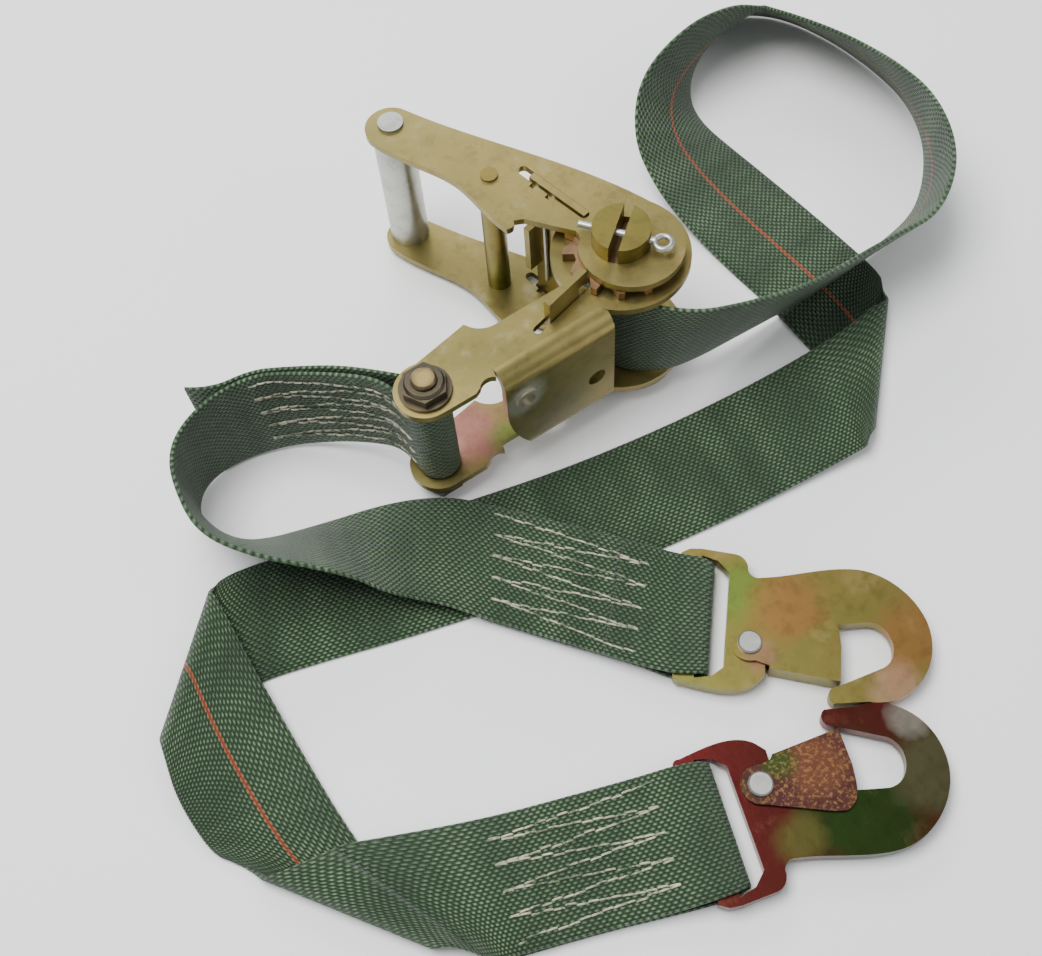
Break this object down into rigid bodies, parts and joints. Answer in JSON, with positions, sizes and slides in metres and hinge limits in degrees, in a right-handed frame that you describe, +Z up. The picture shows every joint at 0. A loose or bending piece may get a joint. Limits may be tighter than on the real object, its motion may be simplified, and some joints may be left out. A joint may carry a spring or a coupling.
{
  "type": "ratchet tie down",
  "caption": "Ratchet strap: a buckle with a toothed spindle, a pawl handle and a bolted short strap, a long strap threaded in its spindle, and flat snap hooks with sprung gates.",
  "frame": {"origin": "centre of the buckle's box, straps and hooks left out, on the surface that everything lies on", "axes": "+Z up, along the spindle; +X along the buckle's base from its anchor bolt to its spindle; the base's web faces -Y"},
  "size_m": [0.4451, 0.3633, 0.0845],
  "materials": {
    "yellow_zinc": "satin, worn",
    "amber_zinc": "satin",
    "copper_zinc": "satin, rubbed",
    "dark_steel": "oiled",
    "grey_steel": "satin",
    "red_chromate": "gloss, iridescent",
    "rusty_chromate": "speckled with rust",
    "green_webbing": "coarse weave"
  },
  "bodies": {
    "base": {"base_frame": "yellow_zinc", "anchor_bolt": "dark_steel", "anchor_washer": "dark_steel", "anchor_nut": "dark_steel", "anchor_sleeve": "grey_steel", "short_strap": "green_webbing", "long_strap": "green_webbing", "stop_pawl_spring": "grey_steel"},
    "handle": {"upper_handle_plate": "yellow_zinc", "lower_handle_plate": "yellow_zinc", "grip_tube": "grey_steel", "grip_rivet": "grey_steel", "spacer_bar": "amber_zinc"},
    "spindle": {"mandrel_half_back": "amber_zinc", "mandrel_half_front": "amber_zinc", "upper_ratchet_wheel": "copper_zinc", "lower_ratchet_wheel": "copper_zinc", "cotter_pin": "grey_steel", "wound_webbing": "green_webbing"},
    "stop_pawl": {"stop_pawl": "yellow_zinc"},
    "drive_pawl": {"drive_pawl": "yellow_zinc", "drive_pawl_spring": "grey_steel"},
    "hook_1": {"hook_1": "amber_zinc", "hook_1_rivet": "grey_steel"},
    "hook_1_gate": {"hook_1_gate": "amber_zinc", "hook_1_gate_spring": "grey_steel"},
    "hook_2": {"hook_2": "red_chromate", "hook_2_rivet": "grey_steel"},
    "hook_2_gate": {"hook_2_gate": "rusty_chromate", "hook_2_gate_spring": "grey_steel"}
  },
  "joints": [
    {"name": "handle_hinge", "type": "hinge", "parent": "base", "child": "handle", "pos_m": [0.0403, -0.04265, 0.0399], "axis": [0, 0, 1], "range_deg": [-117, 50], "deforming": ["long_strap", "stop_pawl_spring"]},
    {"name": "spindle_turn", "type": "hinge", "parent": "base", "child": "spindle", "pos_m": [0.0403, -0.04265, 0.0399], "axis": [0, 0, 1], "continuous": true},
    {"name": "stop_pawl_slide", "type": "slide", "parent": "base", "child": "stop_pawl", "axis": [-0.9724, -0.2334, 0], "range_m": [-0.0021, 0.005], "deforming": ["stop_pawl_spring"]},
    {"name": "drive_pawl_slide", "type": "slide", "parent": "handle", "child": "drive_pawl", "axis": [-0.2113, 0.9774, 0], "range_m": [0, 0.006], "stiffness_N_per_m": 300, "springref_m": -0.004},
    {"name": "hook_1_swing", "type": "hinge", "parent": "base", "child": "hook_1", "pos_m": [-0.01279, -0.1608, 0.0054], "axis": [-0.6547, -0.7559, 0], "range_deg": [0, 75], "deforming": ["short_strap"]},
    {"name": "hook_1_gate_hinge", "type": "hinge", "parent": "hook_1", "child": "hook_1_gate", "pos_m": [-0.001, -0.18385, 0.0055], "axis": [0, 0, 1], "range_deg": [0, 22], "stiffness_Nm_per_rad": 0.3, "springref_deg": -17.19},
    {"name": "hook_2_swing", "type": "hinge", "parent": "base", "child": "hook_2", "pos_m": [-0.05765, -0.23035, 0.0054], "axis": [-0.3239, -0.9461, 0], "range_deg": [0, 75], "deforming": ["long_strap"]},
    {"name": "hook_2_gate_hinge", "type": "hinge", "parent": "hook_2", "child": "hook_2_gate", "pos_m": [-0.0318, -0.22895, 0.0055], "axis": [0, 0, -1], "range_deg": [0, 22], "stiffness_Nm_per_rad": 0.3, "springref_deg": -17.19}
  ],
  "couplings": [
    {"joint": "stop_pawl_slide", "follows": "handle_hinge", "m_per_rad": -0.0024064}
  ]
}
